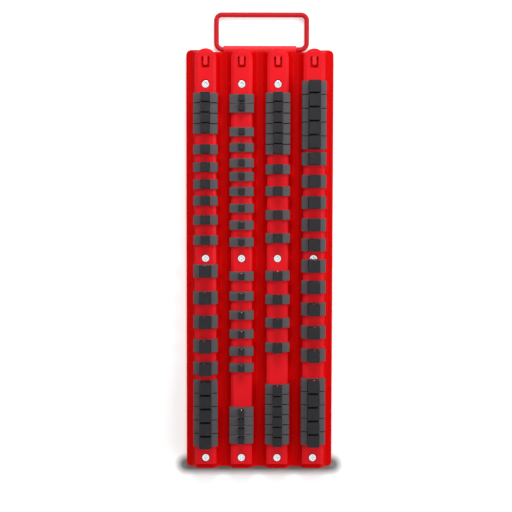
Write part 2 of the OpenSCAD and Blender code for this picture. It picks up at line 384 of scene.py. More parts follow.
class Nodes:
    """The nodes of one material or of the world."""

    def __init__(self, owner: Material | World) -> None:
        """Starts with no nodes.

        Args:
            owner: the material or the world.
        """
        owner.use_nodes = True
        self.tree = owner.node_tree
        self.tree.nodes.clear()

    def add(self, kind: str, settings: dict | None = None, sockets: dict | None = None) -> bpy.types.Node:
        """Adds a node.

        Args:
            kind: the node's type.
            settings: its settings.
            sockets: the values or links of its inputs, by name or by number.

        Returns:
            The node.
        """
        node = self.tree.nodes.new(kind)
        configure(node, **(settings or {}))
        for key, value in (sockets or {}).items():
            if isinstance(value, Signal):
                self.tree.links.new(value.socket, node.inputs[key])
            elif isinstance(value, NodeSocket):
                self.tree.links.new(value, node.inputs[key])
            else:
                node.inputs[key].default_value = value
        return node

    def places(self) -> NodeSocket:
        """Gives the place on the piece, in metres."""
        return self.add("ShaderNodeTexCoord").outputs["Object"]

    def axis(self, name: str) -> Signal:
        """Gives the place along one axis, in metres."""
        return Signal(self, self.add("ShaderNodeSeparateXYZ", sockets={0: self.places()}).outputs[name])

    def seen_directly(self) -> Signal:
        """Tells which rays come from the camera, or from metal or glass.

        Returns:
            1 for such rays, and 0 for others.
        """
        path = self.add("ShaderNodeLightPath")
        kinds = ("Camera", "Glossy", "Transmission")
        camera, *others = (Signal(self, path.outputs[f"Is {kind} Ray"]) for kind in kinds)
        return camera.math("MAXIMUM", others[0]).math("MAXIMUM", others[1])

    def noise(self, grain: float, detail: float) -> Signal:
        """Gives a noise from 0 to 1 with patches of a size in millimetres."""
        sockets = {"Vector": self.places(), "Scale": 1 / (grain * MM), "Detail": detail}
        return Signal(self, self.add("ShaderNodeTexNoise", sockets=sockets).outputs["Fac"])

    def blend(self, share: Signal, first: Sequence[float], second: Sequence[float]) -> NodeSocket:
        """Mixes two colours by a share."""
        # The Mix node's colour sockets share their names with its other types, so they are given by number.
        sockets = {0: share, 6: (*first, 1), 7: (*second, 1)}
        return self.add("ShaderNodeMix", {"data_type": "RGBA"}, sockets).outputs[2]

    def bump(self, height: Signal, depth: float, strength: float) -> NodeSocket:
        """Turns a height from 0 to 1 into a bump that is so many millimetres deep."""
        sockets = {"Height": height, "Distance": depth * MM, "Strength": strength}
        return self.add("ShaderNodeBump", sockets=sockets).outputs["Normal"]

    def surface(self, kind: str, **sockets: object) -> None:
        """Adds the shader and the output that it feeds, with underscores for the spaces in socket names.

        Args:
            kind: the shader's type.
            sockets: the values or links of its inputs.
        """
        values = {key.replace("_", " "): value for key, value in sockets.items()}
        shader = self.add(kind, sockets=values)
        output = "ShaderNodeOutputWorld" if kind == "ShaderNodeBackground" else "ShaderNodeOutputMaterial"
        self.add(output, sockets={"Surface": shader.outputs[0]})


@dataclass(frozen=True)
class Finish:
    """What all finishes have: a name and a material slot's name."""

    name: str
    slot: str

    def material(self) -> Material:
        """Gives the material, and makes it at the first call.

        Returns:
            The material.
        """
        made = bpy.data.materials.get(self.name)
        if made is None:
            made = bpy.data.materials.new(self.name)
            self.dress(Nodes(made))
        return made

    def dress(self, nodes: Nodes) -> None:
        """Adds the nodes of this finish."""
        raise NotImplementedError


@dataclass(frozen=True, kw_only=True)
class RedPaint(Finish):
    """Baked gloss paint on steel, with a faint orange peel. Its grains are in millimetres."""

    deep: Triple
    bright: Triple
    roughness: float
    specular: float
    cloud_grain: float = 34.0
    peel_grain: float = 1.1
    speck_grain: float = 0.35

    def share(self, nodes: Nodes, cloud: Signal) -> Signal:
        """Gives the share of the brighter tone, from a noise of broad patches."""
        return cloud.above(0.35, 0.65)

    def dress(self, nodes: Nodes) -> None:
        """Adds the paint's nodes.

        Args:
            nodes: the material's nodes.
        """
        cloud = nodes.noise(self.cloud_grain, detail=3.0)
        peel = nodes.noise(self.peel_grain, detail=1.5)
        speck = nodes.noise(self.speck_grain, detail=1.0)
        nodes.surface(
            "ShaderNodeBsdfPrincipled",
            Base_Color=nodes.blend(self.share(nodes, cloud), self.deep, self.bright),
            Roughness=self.roughness + cloud * 0.08 + speck * 0.05,
            Specular_IOR_Level=self.specular,
            Normal=nodes.bump(peel + speck * 0.3, depth=0.02, strength=0.25),
        )


@dataclass(frozen=True, kw_only=True)
class HemHighlightPaint(RedPaint):
    """Red paint with a painted highlight on the rolled hem, where it is paler. Its places are in
    millimetres.
    """

    hem_y: float
    hem_half: float
    highlight_in: float = 3.0
    highlight_out: float = 2.0
    side_blur: float = 0.2

    def share(self, nodes: Nodes, cloud: Signal) -> Signal:
        """Gives the share of the painted highlight's paler tone, which grows from the tray's edge to the
        hem.

        Args:
            nodes: the material's nodes.
            cloud: a noise of broad patches.

        Returns:
            The share.
        """
        # Painted highlight: paler towards the hem's axis, and only over the hem's width.
        along = nodes.axis("Y").above((self.hem_y - self.highlight_in) * MM, (self.hem_y + self.highlight_out) * MM)
        side = nodes.axis("X").math("ABSOLUTE")
        beside = side.above(self.hem_half * MM, (self.hem_half + self.side_blur) * MM)
        return along * (1.0 - beside) + cloud * 0.02 - 0.008


@dataclass(frozen=True, kw_only=True)
class BrightMetal(Finish):
    """Bare or plated steel."""

    colour: Triple
    tint: Triple
    roughness: float
    cloud_grain: float = 2.5
    scuff_grain: float = 0.6

    def dress(self, nodes: Nodes) -> None:
        """Adds the metal's nodes.

        Args:
            nodes: the material's nodes.
        """
        cloud = nodes.noise(self.cloud_grain, detail=2.0)
        scuff = nodes.noise(self.scuff_grain, detail=3.0)
        nodes.surface(
            "ShaderNodeBsdfPrincipled",
            Base_Color=nodes.blend(cloud.above(0.4, 0.7), self.colour, self.tint),
            Metallic=1.0,
            Roughness=self.roughness + scuff * 0.12,
            Normal=nodes.bump(scuff, depth=0.01, strength=0.3),
        )


@dataclass(frozen=True, kw_only=True)
class MouldedPlastic(Finish):
    """Charcoal nylon: grained saddles, and posts that are darker and smoother."""

    saddle: Triple
    post: Triple
    foot_low: float
    foot_high: float
    grain: float = 0.45
    cloud_grain: float = 6.0
    specular: float = 0.12

    def dress(self, nodes: Nodes) -> None:
        """Adds the plastic's nodes.

        Args:
            nodes: the material's nodes.
        """
        on_post = nodes.axis("Z").above(self.foot_low * MM, self.foot_high * MM)
        grain = nodes.noise(self.grain, detail=2.0)
        cloud = nodes.noise(self.cloud_grain, detail=2.0)
        tone = on_post + cloud * 0.25 - 0.12
        nodes.surface(
            "ShaderNodeBsdfPrincipled",
            Base_Color=nodes.blend(tone.above(0.0, 1.0), self.saddle, self.post),
            Roughness=0.5 - on_post * 0.08 + grain * 0.14,
            Specular_IOR_Level=self.specular,
            Normal=nodes.bump(grain, depth=0.03, strength=0.35),
        )


RAIL_PAINT = RedPaint(
    "rail_red_paint", "rail_paint", deep=(0.79, 0.0085, 0.015), bright=(0.85, 0.0100, 0.018),
    roughness=0.28, specular=0.1)
WIRE_PAINT = RedPaint(
    "wire_red_paint", "wire_paint", deep=(0.56, 0.012, 0.019), bright=(0.61, 0.014, 0.022),
    roughness=0.25, specular=0.1)
BRIGHT_ZINC = BrightMetal(
    "bright_zinc", "bright_zinc", colour=(0.83, 0.84, 0.87), tint=(0.76, 0.80, 0.86), roughness=0.22)
BALL_STEEL = BrightMetal(
    "ball_steel", "ball_steel", colour=(0.80, 0.80, 0.82), tint=(0.74, 0.75, 0.78),
    roughness=0.08, scuff_grain=0.4)


@dataclass(frozen=True)
class Layout:
    """Places that the pieces share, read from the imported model, in millimetres."""

    rail_x: dict[int, float]
    edge_y: float
    end_y: float
    floor_z: float = 8.0
    ridge_z: float = 16.0
    rail_z: float = 20.4
    screw_places: tuple[float, ...] = (34.5, 203.0, 399.2)
    screw_hole_r: float = 1.975
    sheet: float = 1.2

    @classmethod
    def read(cls) -> "Layout":
        """Reads the places from the rails and the tray.

        Returns:
            The layout.
        """
        boxes = {rail: box_mm(f"rail_{rail}") for rail in RAILS}
        middle = {rail: (low.x + high.x) / 2 for rail, (low, high) in boxes.items()}
        return cls(rail_x=middle, edge_y=boxes[1][1].y, end_y=box_mm("tray")[0].y)

    def screws(self) -> list[tuple[str, float, float]]:
        """Gives the name, x and y of each screw."""
        return [
            (f"rail_{rail}_screw_{number}", x, self.edge_y - place)
            for rail, x in self.rail_x.items()
            for number, place in enumerate(self.screw_places, 1)
        ]


@dataclass(frozen=True)
class PressedTray:
    """The tray: one sheet with four ridges, a skirt folded down all round and a tab rolled into a hem."""

    layout: Layout
    width: float = 144.0
    corner_r: float = 5.0
    bend_r: float = 1.4
    notch_bend_r: float = 1.0
    ridge_top: float = 14.0
    ridge_base: float = 30.0
    slope_steps: int = 8
    corner_steps: int = 6
    bend_steps: int = 5
    hem_half: float = 35.5
    hem_out: float = 0.8
    hem_r: float = 3.68
    hem_gap: float = 5.0
    hem_steps: int = 30
    slit: float = 0.12
    notch_reach: float = 49.0
    notch_depth: float = 1.9
    ridge_stop: float = 1.4
    ridge_end_r: float = 2.5
    ridge_end_row: float = 4.0
    hole_patch: float = 1.5
    hole_steps: int = 24

    @property
    def hem_y(self) -> float:
        """Where the axis of the hem is."""
        return self.layout.edge_y + self.hem_out

    @property
    def core_x(self) -> float:
        """Half the width between the centres of the corners."""
        return self.width / 2 - self.corner_r

    @property
    def core_y(self) -> tuple[float, float]:
        """The lowest and the highest centre of a corner."""
        return self.layout.end_y + self.corner_r, self.layout.edge_y - self.corner_r

    @property
    def flat_reach(self) -> float:
        """How far the sheet is flat past the centres of the corners."""
        return self.corner_r - self.bend_r

    def paint(self) -> HemHighlightPaint:
        """Gives the sheet's paint, with a painted highlight on the hem."""
        return HemHighlightPaint(
            # The bright tone is the painted highlight along the rolled hem.
            "tray_red_paint", "sheet_paint", deep=(0.70, 0.0004, 0.0008), bright=(0.93, 0.06, 0.075),
            roughness=0.32, specular=0.05, hem_y=self.hem_y, hem_half=self.hem_half)

    def ridge(self, x: float) -> float:
        """Gives the height of the ridges over the flat sheet: half a cosine wave down each side.

        Args:
            x: the place across the tray.

        Returns:
            The height.
        """
        off = min(abs(x - middle) for middle in self.layout.rail_x.values())
        share = (off - self.ridge_top / 2) / ((self.ridge_base - self.ridge_top) / 2)
        height = self.layout.ridge_z - self.layout.floor_z
        return height * (1 + math.cos(math.pi * min(max(share, 0), 1))) / 2

    def columns(self) -> list[float]:
        """Gives the places across the tray where its surface has an edge along the rails.

        Returns:
            The places, from left to right.
        """
        slope = (self.ridge_base - self.ridge_top) / 2 / self.slope_steps
        corner = [self.core_x + self.flat_reach * math.sin(turn) for turn in quarter_turn(self.corner_steps)]
        inner = [
            self.hem_half, self.hem_half + self.slit, self.notch_reach, self.notch_reach + self.notch_depth]
        for middle in self.layout.rail_x.values():
            for k in range(self.slope_steps + 1):
                off = self.ridge_top / 2 + k * slope
                inner += [middle + off, middle - off]
        kept = {round(abs(x), 3) for x in corner + [x for x in inner if abs(x) <= self.core_x]}
        return sorted({side * x for x in kept for side in (-1, 1)})

    def bend_start(self, x: float) -> float:
        """Gives how far past the corner centres the sheet is flat before it bends down."""
        past_core = max(0.0, abs(x) - self.core_x)
        return math.sqrt(max(self.flat_reach**2 - past_core**2, 0.0))

    def top_end(self, x: float) -> float:
        """Gives where the ridges have run out towards the handle: at the skirt's bend or behind the tab.

        Args:
            x: the place across the tray.

        Returns:
            The place along it.
        """
        edge_y = self.layout.edge_y
        if abs(x) <= self.hem_half + NEAR:
            return edge_y - self.ridge_stop
        if abs(x) <= self.notch_reach + NEAR:
            return edge_y - self.notch_depth - self.notch_bend_r
        return self.core_y[1] + self.bend_start(x)

    def outward(self, place: Vector) -> Vector:
        """Gives the direction out of the tray at a place near its edge.

        Args:
            place: the place.

        Returns:
            The direction, which is level.
        """
        x = min(max(place.x, -self.core_x), self.core_x)
        y = min(max(place.y, self.core_y[0]), self.core_y[1])
        return Vector((place.x - x, place.y - y, 0)).normalized()

    def bent(self, co: Vector, turn: float, next_turn: float) -> Vector:
        """Gives where one step of the skirt's bend, which is tighter beside the hem, takes a place.

        Args:
            co: the place.
            turn: the bend up to there, in radians.
            next_turn: the bend after the step.

        Returns:
            The next place.
        """
        beside_hem = co.y > 0 and abs(co.x) <= self.notch_reach + NEAR
        radius = self.notch_bend_r if beside_hem else self.bend_r
        step = self.outward(co) * (math.sin(next_turn) - math.sin(turn))
        step.z = math.cos(next_turn) - math.cos(turn)
        return co + radius * step

    def skirt(self, shape: Shape, rim: Edges) -> None:
        """Bends the sheet down along its rim, and lets it fall to the foot.

        Args:
            shape: the tray.
            rim: the edges of its flat part.
        """
        for turn, next_turn in pairwise(quarter_turn(self.bend_steps)):
            rim = shape.extrude(rim, lambda co: self.bent(co, turn, next_turn))
        shape.extrude(rim, lambda co: Vector((co.x, co.y, 0)))

    def hem(self, shape: Shape, tab: Edges) -> None:
        """Runs the tab out and rolls it round the wire, until it nearly meets the sheet's underside.

        Args:
            shape: the tray.
            tab: the edges at the tab's root.
        """
        flat = self.layout.floor_z
        hem_z = flat - self.hem_r
        tab = shape.extrude(tab, lambda co: Vector((co.x, self.hem_y, flat)))
        closed = 270 + math.degrees(math.asin((flat - self.layout.sheet - hem_z) / self.hem_r))
        shape.turn(tab, (0, self.hem_y, hem_z), (1, 0, 0), self.hem_gap - closed, self.hem_steps)

    def ridge_end(self, co: Vector, turn: float) -> Vector:
        """Gives where a place of the last straight row goes as the ridges round down to the flat sheet."""
        y = self.top_end(co.x) - self.ridge_end_r * (1 - math.sin(turn))
        return Vector((co.x, y, self.layout.floor_z + math.cos(turn) * self.ridge(co.x)))

    def build(self) -> Object:
        """Makes the tray.

        Returns:
            The piece.
        """
        layout = self.layout
        shape = Shape()
        low_y, high_y = self.core_y
        start = [(x, low_y - self.bend_start(x), layout.floor_z + self.ridge(x)) for x in self.columns()]
        last_y = high_y - self.ridge_end_row
        row = shape.extrude(shape.chain(start), lambda co: Vector((co.x, last_y, co.z)))
        for turn in quarter_turn(self.bend_steps):
            row = shape.extrude(row, lambda co: self.ridge_end(co, turn))
        tab_x = self.hem_half + NEAR
        tab = [edge for edge in row if all(abs(vert.co.x) <= tab_x for vert in edge.verts)]
        free = [edge for edge in row if all(abs(vert.co.x) <= tab_x + self.slit for vert in edge.verts)]
        self.skirt(shape, [edge for edge in shape.bm.edges if edge.is_boundary and edge not in free])
        self.hem(shape, tab)
        for place in layout.screw_places:
            for side in (-1, 1):
                everything = [*shape.bm.verts, *shape.bm.edges, *shape.bm.faces]
                level = (0, layout.edge_y - place + side * self.hole_patch * layout.screw_hole_r, 0)
                bmesh.ops.bisect_plane(
                    shape.bm, geom=everything, dist=1e-4, plane_co=level, plane_no=(0, 1, 0))
        for _, x, y in layout.screws():
            place = (x, y, layout.ridge_z)
            shape.hole(shape.nearest_face(place), place, layout.screw_hole_r, self.hole_steps)
        return shape.finish("tray_sheet", self.paint(), TRAY_BODY, ["tray"], wall=layout.sheet, edge=0.2)


@dataclass(frozen=True)
class WireHandle:
    """The handle: a closed loop of round wire that turns in the tray's hem."""

    layout: Layout
    wire_r: float = 2.4
    corner_r: float = 5.4
    foot_r: float = 6.5
    wire_steps: int = 24
    bend_steps: int = 10

    def build(self) -> Object:
        """Makes the handle.

        Returns:
            The piece.
        """
        low, high = box_mm("handle")
        middle, half = (low.x + high.x) / 2, (high.x - low.x) / 2 - self.wire_r
        level = (low.z + high.z) / 2
        near, far = low.y + self.wire_r, high.y - self.wire_r
        shape = Shape()
        points = [(middle, near + x, level + y) for x, y in ring(self.wire_r, self.wire_steps)]
        start = edges = shape.chain(points, closed=True)
        for way, y, next_y, radius, next_radius in (
                (1, near, far, self.foot_r, self.corner_r), (-1, far, near, self.corner_r, self.foot_r)):
            first = middle + way * (half - radius)
            edges = shape.extrude(edges, lambda co: Vector((first, co.y, co.z)))
            edges = shape.turn(edges, (first, y + way * radius, level), (0, 0, 1), 90, self.bend_steps)
            up = next_y - way * next_radius
            edges = shape.extrude(edges, lambda co: Vector((co.x, up, co.z)))
            second = middle + way * (half - next_radius)
            edges = shape.turn(edges, (second, up, level), (0, 0, 1), 90, self.bend_steps)
        shape.extrude(edges, lambda co: Vector((middle, co.y, co.z)))
        bmesh.ops.delete(shape.bm, geom=[edge for edge in start if not edge.link_faces], context="EDGES")
        return shape.finish("handle_wire", WIRE_PAINT, "handle", ["handle"])


@dataclass(frozen=True)
class Rail:
    """A rail: a shallow channel with a round end, a stop tongue and three screw dimples."""

    layout: Layout
    number: int
    half: float = 10.5
    flat_half: float = 7.5
    bevel_h: float = 1.7
    lip_h: float = 0.7
    fold_r: float = 1.1
    lip_r: float = 0.9
    slot_half: float = 3.9
    slot_cut: float = 2.0
    slot_tip: float = 2.5
    slot_start: float = 7.8
    slot_length: float = 10.9
    slot_round: float = 0.95
    slot_corner_r: float = 1.4
    tongue_r: float = 1.2
    tongue_rise: float = 1.2
    fold_in: float = 0.7
    dimple_r: float = 4.3
    dimple_edge: float = 0.3
    mouth_r: float = 0.25
    seat_in: float = 0.35
    seat_depth: float = 1.4
    crease_r: float = 0.4
    end_steps: int = 36
    dimple_steps: int = 32

    @property
    def centre(self) -> Vector:
        """The middle of the rail's round end."""
        layout = self.layout
        return Vector((layout.rail_x[self.number], layout.edge_y - self.half, 0))

    def outline(self, reach: float, end_y: float) -> list[Point]:
        """Draws the rail's flat top with its round end.

        Args:
            reach: the half width of the flat top.
            end_y: where the rail's open end is.

        Returns:
            The outline from one corner of the open end to the other.
        """
        x, centre_y, _ = self.centre
        turns = (math.pi * (1 - k / self.end_steps) for k in range(self.end_steps + 1))
        arc = [(x + reach * math.cos(turn), centre_y + reach * math.sin(turn)) for turn in turns]
        return [(x - reach, end_y), *arc, (x + reach, end_y)]

    def slot(self) -> list[Point]:
        """Draws the slot round the stop tongue, as a U that opens towards the handle.

        Returns:
            The points of the slot's edge.
        """
        x, y = self.layout.rail_x[self.number], self.layout.edge_y - self.slot_start
        end, tip = y - self.slot_length, y - self.slot_length + self.slot_tip
        wide, tongue = self.slot_half, self.slot_half - self.slot_cut
        left = [
            (-tongue, tip, self.tongue_r), (-tongue, y, self.slot_round), (-wide, y, self.slot_round),
            (-wide, end, self.slot_corner_r)]
        corners = left + [(-px, py, radius) for px, py, radius in reversed(left)]
        return [(x + px, py) for px, py in rounded(corners, closed=True, steps=4)]

    def build(self) -> Object:
        """Makes the rail.

        Returns:
            The piece.
        """
        layout = self.layout
        x, centre_y, _ = self.centre
        top, end_y = layout.rail_z, box_mm(f"rail_{self.number}")[0].y
        low = top - self.bevel_h - self.lip_h
        flat = self.flat_half - self.fold_in
        profile = rounded([
            (flat, top), (self.flat_half, top, self.fold_r), (self.half, top - self.bevel_h, self.lip_r),
            (self.half, low)], steps=4)
        shape = Shape()
        edge = shape.loop(self.outline(flat, end_y), (0, 0, top))
        slot = shape.loop(self.slot(), (0, 0, top))
        mouth = self.dimple_r + self.dimple_edge
        centres = [Vector((x, layout.edge_y - place, top)) for place in layout.screw_places]
        dimples = [shape.loop(ring(mouth, self.dimple_steps), centre) for centre in centres]
        shape.fill([*edge, *slot, *(part for rim in dimples for part in rim)], (0, 0, 1))
        self.raise_tongue(shape, x)
        shape.follow(edge[:-1], profile, lambda co: away(co, Vector((x, min(co.y, centre_y), 0))))
        seat, seat_z = self.dimple_r - self.seat_in, top - self.seat_depth
        hole_r = layout.screw_hole_r
        neck = seat_z - seat + hole_r
        cone = rounded([
            (-mouth, top), (-self.dimple_r, top, self.mouth_r), (-seat, seat_z, self.crease_r),
            (-hole_r, neck, self.crease_r), (-hole_r, layout.ridge_z)], steps=2)
        for rim, centre in zip(dimples, centres):
            shape.follow(rim, cone, lambda co: -away(co, centre))
        node = f"rail_{self.number}"
        return shape.finish(f"{node}_channel", RAIL_PAINT, TRAY_BODY, [node], wall=layout.sheet, edge=0.16)

    def raise_tongue(self, shape: Shape, x: float) -> None:
        """Bends the stop tongue up towards its free end.

        Args:
            shape: the rail.
            x: its middle.
        """
        root = self.layout.edge_y - self.slot_start
        length = self.slot_length - self.slot_tip
        for vert in shape.bm.verts:
            along = (root - vert.co.y) / length
            if abs(vert.co.x - x) <= self.slot_half - self.slot_cut + NEAR and 0 < along <= 1 + NEAR:
                vert.co.z += self.tongue_rise * along


@dataclass(frozen=True)
class Screw:
    """A countersunk cross recess screw and the hex nut on it."""

    layout: Layout
    name: str
    x: float
    y: float
    head_r: float = 3.5
    head_sink: float = 0.7
    shank_r: float = 1.9
    length: float = 9.5
    pitch: float = 0.7
    thread_depth: float = 0.35
    thread_start: float = 0.4
    tip_taper: float = 0.2
    head_edge: float = 0.3
    # Steps in from the head's edge, and down.
    head_rounding: tuple[Point, ...] = ((0.08, 0.05), (0.0, 0.16))
    recess_half: float = 2.2
    recess_arm: float = 0.5
    arm_r: float = 0.3
    recess_throat: float = 1.25
    throat_r: float = 0.25
    # The share of the cross that is left, and its depth.
    recess_levels: tuple[Point, ...] = ((0.92, 0.3), (0.45, 1.6))
    nut_flats: float = 7.0
    nut_h: float = 3.2
    nut_chamfer: float = 0.08
    bore_gap: float = 0.02
    bore_chamfer: float = 0.25
    round_steps: int = 32
    bore_steps: int = 24

    def recess(self) -> list[Point]:
        """Draws the cross, arm by arm.

        Returns:
            Its points, from the middle of the head.
        """
        corners: list[tuple[float, ...]] = []
        throat = self.recess_arm * self.recess_throat
        for k in range(4):
            turn = Matrix.Rotation(k * math.pi / 2, 2)
            for x, y, radius in (
                    (throat, throat, self.throat_r), (self.recess_arm, self.recess_half, self.arm_r),
                    (-self.recess_arm, self.recess_half, self.arm_r)):
                corners.append((*(turn @ Vector((x, y))), radius))
        return rounded(corners, closed=True, steps=2)

    def build(self) -> Object:
        """Makes the screw.

        Returns:
            The piece.
        """
        x, y, top = self.x, self.y, self.layout.rail_z - self.head_sink
        centre = Vector((x, y, top))
        rim_r = self.head_r - self.head_edge
        shape = Shape()
        rim = shape.loop(ring(rim_r, self.round_steps), centre)
        cross = shape.loop(self.recess(), centre)
        shape.fill(rim + cross, (0, 0, 1))
        for share, depth in self.recess_levels:
            cross = shape.extrude(
                cross, lambda co: Vector((x + (co.x - x) * share, y + (co.y - y) * share, top - depth)))
        shape.cap(cross)
        neck, tip = top - self.head_r + self.shank_r, top - self.length
        crest, root = self.shank_r, self.shank_r - self.thread_depth
        rounding = ((self.head_r - inward, top - down) for inward, down in self.head_rounding)
        profile = [(rim_r, top), *rounding, (crest, neck)]
        level = neck - self.thread_start
        while level > tip + self.pitch:
            profile += [(root, level - self.pitch / 2), (crest, level - self.pitch)]
            level -= self.pitch
        profile.append((root - self.tip_taper, tip))
        shape.cap(shape.follow(rim, profile, lambda co: away(co, centre)))
        return shape.finish(self.name, BRIGHT_ZINC, TRAY_BODY, ["rail_screws"])

    def build_nut(self) -> Object:
        """Makes the nut under the ridge.

        Returns:
            The piece.
        """
        centre = Vector((self.x, self.y, self.layout.ridge_z - self.layout.sheet))
        corner_r = self.nut_flats / 2 / math.cos(math.pi / 6)
        chamfer, bore_r = corner_r * self.nut_chamfer, self.shank_r + self.bore_gap + self.bore_chamfer
        shape = Shape()
        hexagon = shape.loop(ring(corner_r - chamfer, 6), centre)
        bore = shape.loop(ring(bore_r, self.bore_steps), centre)
        shape.fill(hexagon + bore, (0, 0, 1))

        def down(rim: Edges, reach: float, drop: float, way: int) -> list[BMEdge]:
            """Pulls a rim down to the nut's bottom, with a chamfer at both ends."""
            profile = [(0, 0), (reach, -drop), (reach, drop - self.nut_h), (0, -self.nut_h)]
            return shape.follow(rim, profile, lambda co: way * away(co, centre))

        low_hexagon = down(hexagon, chamfer, chamfer * 0.7, 1)
        low_bore = down(bore, self.bore_chamfer, self.bore_chamfer, -1)
        shape.fill(low_hexagon + low_bore, (0, 0, -1))
        name = self.name.replace("screw", "nut")
        return shape.finish(name, BRIGHT_ZINC, TRAY_BODY, ["rail_nuts"], edge=0.12)


class Drive(Enum):
    """The three square drives, in millimetres: post width and height, clip length, ball and gap in a row."""

    QUARTER = (6.0, 9.5, 8.7, 2.0, 0.3)
    THREE_EIGHTHS = (8.9, 11.5, 9.2, 2.8, 0.8)
    HALF = (11.5, 13.5, 12.45, 3.4, 0.8)

    def __init__(self, post_w: float, post_h: float, length: float, ball_d: float, gap: float) -> None:
        """Keeps the sizes under their names, in the docstring's order."""
        self.post_w = post_w
        self.post_h = post_h
        self.length = length
        self.ball_d = ball_d
        self.pitch = length + gap

    @classmethod
    def of_node(cls, node: str) -> "Drive":
        """Finds the drive of a clip node from its height."""
        low, high = box_mm(node)
        return min(cls, key=lambda drive: abs(ClipMoulding.post_z + drive.post_h - high.z))


@dataclass(frozen=True)
class ClipMoulding:
    """A clip: a saddle round the rail with a square post, and the ball and spring in the post."""

    drive: Drive
    layout: Layout
    width: float = 23.6
    rail_half: float = Rail.half
    clearance: float = 0.3
    hook_reach: float = 2.2
    hook_low_z: float = 16.6
    hook_top_z: float = 17.7
    crown_r: float = 45.0
    end_r: float = 0.45
    post_foot: float = 22.5
    post_chamfer: float = 0.9
    post_edge_r: float = 0.6
    side_r: float = 0.8
    foot_r: float = 0.35
    hook_r: float = 0.2
    inside_r: float = 0.5
    # How far the slope inside the saddle runs in, and up.
    inside_slope: Point = (3.1, 1.8)
    crown_steps: int = 6
    post_z: float = 24.1
    ball_out: float = 0.55
    ball_gap: float = 0.12
    bore_depth: float = 0.5
    bore_steps: int = 16
    spring_wire_r: float = 0.16
    spring_in: float = 0.35
    spring_gap: float = 0.25
    spring_length: float = 1.2
    spring_turns: int = 4
    spring_steps: int = 9

    @property
    def ball_place(self) -> Vector:
        """The middle of the ball, from the middle of the clip."""
        y = self.drive.post_w / 2 + self.ball_out - self.drive.ball_d / 2
        return Vector((0, y, self.post_z + self.drive.post_h / 2))

    def crown(self, x: float) -> float:
        """Gives the height of the saddle's arched back."""
        return self.post_z - x * x / (2 * self.crown_r)

    def section(self) -> list[Point]:
        """Draws the saddle across the rail.

        Returns:
            Its x and z, all the way round.
        """
        half = self.width / 2
        hollow = self.rail_half + self.clearance
        hook = self.rail_half - self.hook_reach
        back_z = self.layout.rail_z + self.clearance
        slope_w, slope_h = self.inside_slope
        backs = (half * (k + 0.5) / self.crown_steps for k in range(self.crown_steps))
        right: list[tuple[float, ...]] = [(x, self.crown(x)) for x in backs]
        right += [
            (half, self.crown(half), self.side_r), (half, self.hook_low_z, self.foot_r),
            (hook, self.hook_low_z, self.hook_r), (hook, self.hook_top_z, self.hook_r),
            (hollow, self.hook_top_z, self.hook_r), (hollow, back_z - slope_h, self.inside_r),
            (hollow - slope_w, back_z, self.inside_r)]
        left = [(-x, *rest) for x, *rest in reversed(right)]
        return rounded(right + left, closed=True, steps=2)

    def build(self) -> Mesh:
        """Makes the moulding as a template with its middle at x = 0 and y = 0.

        Returns:
            The template.
        """
        half_l = self.drive.length / 2
        shape = Shape()
        near = shape.chain([(x, -half_l, z) for x, z in self.section()], closed=True)
        far = shape.extrude(near, lambda co: Vector((co.x, half_l, co.z)))
        shape.cap(near)
        shape.cap(far)
        bmesh.ops.recalc_face_normals(shape.bm, faces=shape.bm.faces)
        shape.bevel(near + far, self.end_r, 2)
        self.post(shape)
        return shape.template(f"clip_{self.drive.name.lower()}")

    def post(self, shape: Shape) -> None:
        """Stands the post on the saddle and bores it for the ball.

        Args:
            shape: the moulding.
        """
        drive = self.drive
        half_w = drive.post_w / 2
        top = self.post_z + drive.post_h
        size = Matrix.Diagonal((drive.post_w, drive.post_w, top - self.post_foot, 1))
        middle = Matrix.Translation((0, 0, (top + self.post_foot) / 2))
        block = bmesh.ops.create_cube(shape.bm, size=1, matrix=middle @ size)["verts"]
        edges = {edge for vert in block for edge in vert.link_edges}
        upright = [edge for edge in edges if abs(edge.verts[0].co.z - edge.verts[1].co.z) > 1]
        shape.bevel(upright, self.post_edge_r, 3)
        crown = [edge for edge in shape.bm.edges if all(abs(vert.co.z - top) < MM for vert in edge.verts)]
        shape.bevel(crown, self.post_chamfer, 2)
        side = shape.nearest_face((0, half_w, (self.post_foot + top - self.post_chamfer) / 2))
        reach = drive.ball_d / 2 - self.ball_out
        mouth_r = math.sqrt((drive.ball_d / 2) ** 2 - reach**2) + self.ball_gap
        rim = shape.hole(side, (0, half_w, self.ball_place.z), mouth_r, self.bore_steps)
        shape.cap(shape.extrude(rim, lambda co: co - Vector((0, self.bore_depth, 0))))

    def build_detent(self) -> Mesh:
        """Makes the ball and the spring behind it as a template.

        Returns:
            The template.
        """
        drive, ball = self.drive, self.ball_place
        radius = drive.ball_d / 2
        shape = Shape()
        bmesh.ops.create_uvsphere(
            shape.bm, u_segments=16, v_segments=10, radius=radius, matrix=Matrix.Translation(ball))
        start = ball.y - radius - self.spring_gap
        off = radius - self.spring_in
        wire = [(off + x, start, ball.z + y) for x, y in ring(self.spring_wire_r, 5)]
        coil = shape.chain(wire, closed=True)
        end = shape.turn(
            coil, (0, start, ball.z), (0, 1, 0), -360 * self.spring_turns,
            self.spring_steps * self.spring_turns, climb=-drive.ball_d * self.spring_length)
        shape.cap(coil)
        shape.cap(end)
        return shape.template(f"detent_{drive.name.lower()}")


